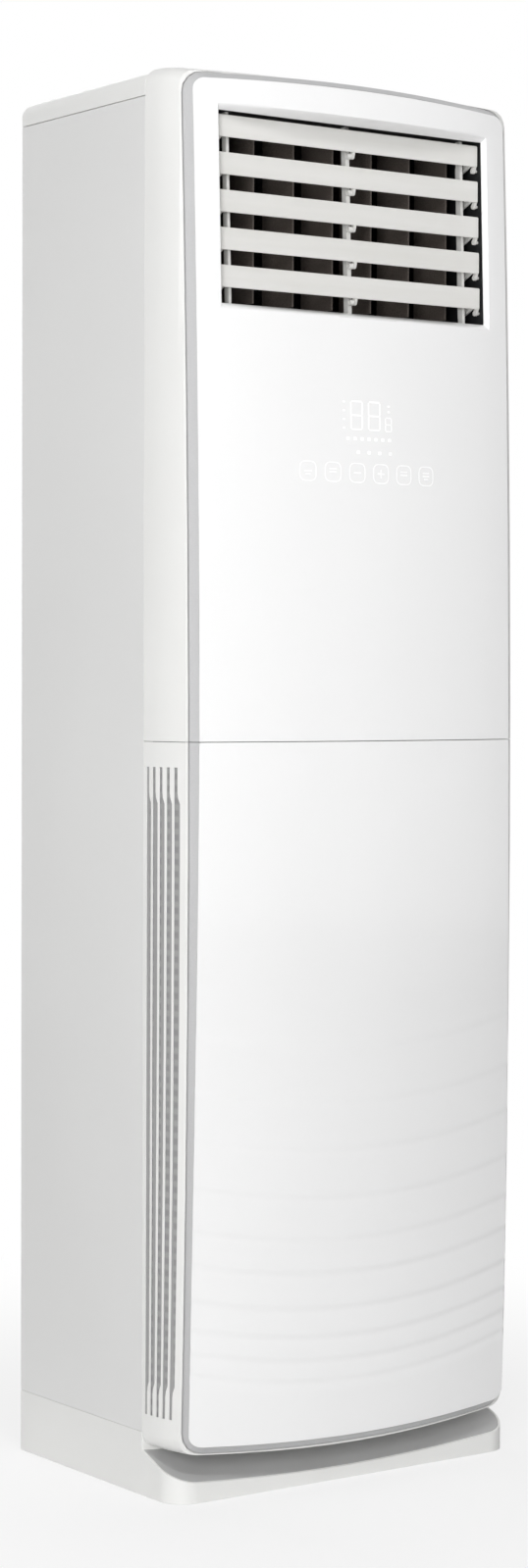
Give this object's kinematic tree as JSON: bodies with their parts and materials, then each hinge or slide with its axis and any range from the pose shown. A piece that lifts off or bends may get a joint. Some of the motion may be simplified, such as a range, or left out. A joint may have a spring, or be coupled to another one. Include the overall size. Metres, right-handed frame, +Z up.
{
  "type": "floor standing air conditioner",
  "caption": "Tall floor standing indoor air conditioner: bowed gloss front, tilting louvre blades before swinging vanes, side intake slots, and a fan behind a pull-off lower front.",
  "frame": {"origin": "middle of the base's footprint, on the floor", "axes": "+Z up, -Y out of the front face, +X to the right of someone looking at the front"},
  "size_m": [0.54, 0.405, 1.7885],
  "materials": {
    "painted_steel": "satin powder coat",
    "white_plastic": "fine satin moulding",
    "inner_white_plastic": "plain moulding",
    "gloss_face": "high gloss",
    "silver_trim": "satin light grey",
    "grey_plastic": "satin grey",
    "blade_plastic": "satin warm light grey",
    "vane_plastic": "fine grained dark grey",
    "dark_plastic": "plain black moulding",
    "filter_mesh": "woven mesh",
    "galvanised_steel": "zinc coated sheet",
    "motor_can": "plated can",
    "motor_black": "black enamel",
    "coil_aluminium": "fin stack",
    "foam": "moulded bead foam",
    "copper": "drawn copper tube",
    "circuit_board": "green solder mask"
  },
  "bodies": {
    "cabinet": {"air_guide": "foam", "base_tray": "white_plastic", "blade_motor": "motor_can", "chamber_front_plate": "galvanised_steel", "coil_end_left": "galvanised_steel", "coil_end_right": "galvanised_steel", "coil_fins": "coil_aluminium", "control_board": "circuit_board", "display_board": "circuit_board", "drain_pan": "inner_white_plastic", "electrical_box": "galvanised_steel", "electrical_box_lid": "galvanised_steel", "fan_deck": "galvanised_steel", "fan_motor": "motor_black", "fan_volute": "galvanised_steel", "gas_pipe": "copper", "inlet_ring": "inner_white_plastic", "kick_ramp": "grey_plastic", "liquid_pipe": "copper", "motor_bracket": "galvanised_steel", "outlet_frame": "dark_plastic", "pipe_hole_plug": "dark_plastic", "rear_panel": "painted_steel", "side_panel_left": "painted_steel", "side_panel_right": "painted_steel", "top_cover": "white_plastic", "upper_face_panel": "gloss_face", "upper_front_shell": "white_plastic", "upper_trim": "silver_trim", "vane_motor": "motor_can"},
    "lower_front": {"lower_front_shell": "white_plastic", "lower_trim": "silver_trim", "lower_face_panel": "gloss_face", "filter_left": "filter_mesh", "filter_right": "filter_mesh"},
    "blade_1": {"blade_1": "blade_plastic"},
    "blade_2": {"blade_2": "blade_plastic"},
    "blade_3": {"blade_3": "blade_plastic"},
    "blade_4": {"blade_4": "blade_plastic"},
    "blade_5": {"blade_5": "blade_plastic"},
    "vane_1": {"vane_1": "vane_plastic"},
    "vane_2": {"vane_2": "vane_plastic"},
    "vane_3": {"vane_3": "vane_plastic"},
    "vane_4": {"vane_4": "vane_plastic"},
    "vane_5": {"vane_5": "vane_plastic"},
    "vane_6": {"vane_6": "vane_plastic"},
    "vane_7": {"vane_7": "vane_plastic"},
    "blade_link_left": {"blade_link_left": "blade_plastic"},
    "blade_link_right": {"blade_link_right": "blade_plastic"},
    "vane_link": {"vane_link": "vane_plastic"},
    "impeller": {"impeller": "dark_plastic"}
  },
  "joints": [
    {"name": "blade_3_tilt", "type": "hinge", "parent": "cabinet", "child": "blade_3", "pos_m": [0, -0.15303, 1.598], "axis": [1, 0, 0], "range_deg": [0, 75]},
    {"name": "blade_1_tilt", "type": "hinge", "parent": "cabinet", "child": "blade_1", "pos_m": [0, -0.15631, 1.505], "axis": [1, 0, 0], "range_deg": [0, 75]},
    {"name": "blade_2_tilt", "type": "hinge", "parent": "cabinet", "child": "blade_2", "pos_m": [0, -0.15467, 1.5515], "axis": [1, 0, 0], "range_deg": [0, 75]},
    {"name": "blade_4_tilt", "type": "hinge", "parent": "cabinet", "child": "blade_4", "pos_m": [0, -0.15138, 1.6445], "axis": [1, 0, 0], "range_deg": [0, 75]},
    {"name": "blade_5_tilt", "type": "hinge", "parent": "cabinet", "child": "blade_5", "pos_m": [0, -0.14974, 1.691], "axis": [1, 0, 0], "range_deg": [0, 75]},
    {"name": "blade_link_left_swing", "type": "hinge", "parent": "blade_3", "child": "blade_link_left", "pos_m": [-0.194, -0.13503, 1.598], "axis": [1, 0, 0], "range_deg": [-75, 0]},
    {"name": "blade_link_right_swing", "type": "hinge", "parent": "blade_3", "child": "blade_link_right", "pos_m": [0.194, -0.13503, 1.598], "axis": [1, 0, 0], "range_deg": [-75, 0]},
    {"name": "vane_4_swing", "type": "hinge", "parent": "cabinet", "child": "vane_4", "pos_m": [0, -0.08336, 1.608], "axis": [0, 0, 1], "range_deg": [-30, 30]},
    {"name": "vane_1_swing", "type": "hinge", "parent": "cabinet", "child": "vane_1", "pos_m": [-0.186, -0.08336, 1.608], "axis": [0, 0, 1], "range_deg": [-30, 30]},
    {"name": "vane_2_swing", "type": "hinge", "parent": "cabinet", "child": "vane_2", "pos_m": [-0.124, -0.08336, 1.608], "axis": [0, 0, 1], "range_deg": [-30, 30]},
    {"name": "vane_3_swing", "type": "hinge", "parent": "cabinet", "child": "vane_3", "pos_m": [-0.062, -0.08336, 1.608], "axis": [0, 0, 1], "range_deg": [-30, 30]},
    {"name": "vane_5_swing", "type": "hinge", "parent": "cabinet", "child": "vane_5", "pos_m": [0.062, -0.08336, 1.608], "axis": [0, 0, 1], "range_deg": [-30, 30]},
    {"name": "vane_6_swing", "type": "hinge", "parent": "cabinet", "child": "vane_6", "pos_m": [0.124, -0.08336, 1.608], "axis": [0, 0, 1], "range_deg": [-30, 30]},
    {"name": "vane_7_swing", "type": "hinge", "parent": "cabinet", "child": "vane_7", "pos_m": [0.186, -0.08336, 1.608], "axis": [0, 0, 1], "range_deg": [-30, 30]},
    {"name": "vane_link_swing", "type": "hinge", "parent": "vane_4", "child": "vane_link", "pos_m": [0, -0.05736, 1.4933], "axis": [0, 0, 1], "range_deg": [-30, 30]},
    {"name": "impeller_spin", "type": "hinge", "parent": "cabinet", "child": "impeller", "pos_m": [0, 0.1265, 0.33], "axis": [0, 1, 0], "continuous": true},
    {"name": "lower_front_slide", "type": "slide", "parent": "cabinet", "child": "lower_front", "axis": [0, -1, 0], "range_m": [0, 0.12]}
  ],
  "couplings": [
    {"joint": "blade_1_tilt", "follows": "blade_3_tilt", "ratio": 1},
    {"joint": "blade_2_tilt", "follows": "blade_3_tilt", "ratio": 1},
    {"joint": "blade_4_tilt", "follows": "blade_3_tilt", "ratio": 1},
    {"joint": "blade_5_tilt", "follows": "blade_3_tilt", "ratio": 1},
    {"joint": "blade_link_left_swing", "follows": "blade_3_tilt", "ratio": -1},
    {"joint": "blade_link_right_swing", "follows": "blade_3_tilt", "ratio": -1},
    {"joint": "vane_1_swing", "follows": "vane_4_swing", "ratio": 1},
    {"joint": "vane_2_swing", "follows": "vane_4_swing", "ratio": 1},
    {"joint": "vane_3_swing", "follows": "vane_4_swing", "ratio": 1},
    {"joint": "vane_5_swing", "follows": "vane_4_swing", "ratio": 1},
    {"joint": "vane_6_swing", "follows": "vane_4_swing", "ratio": 1},
    {"joint": "vane_7_swing", "follows": "vane_4_swing", "ratio": 1},
    {"joint": "vane_link_swing", "follows": "vane_4_swing", "ratio": -1}
  ]
}
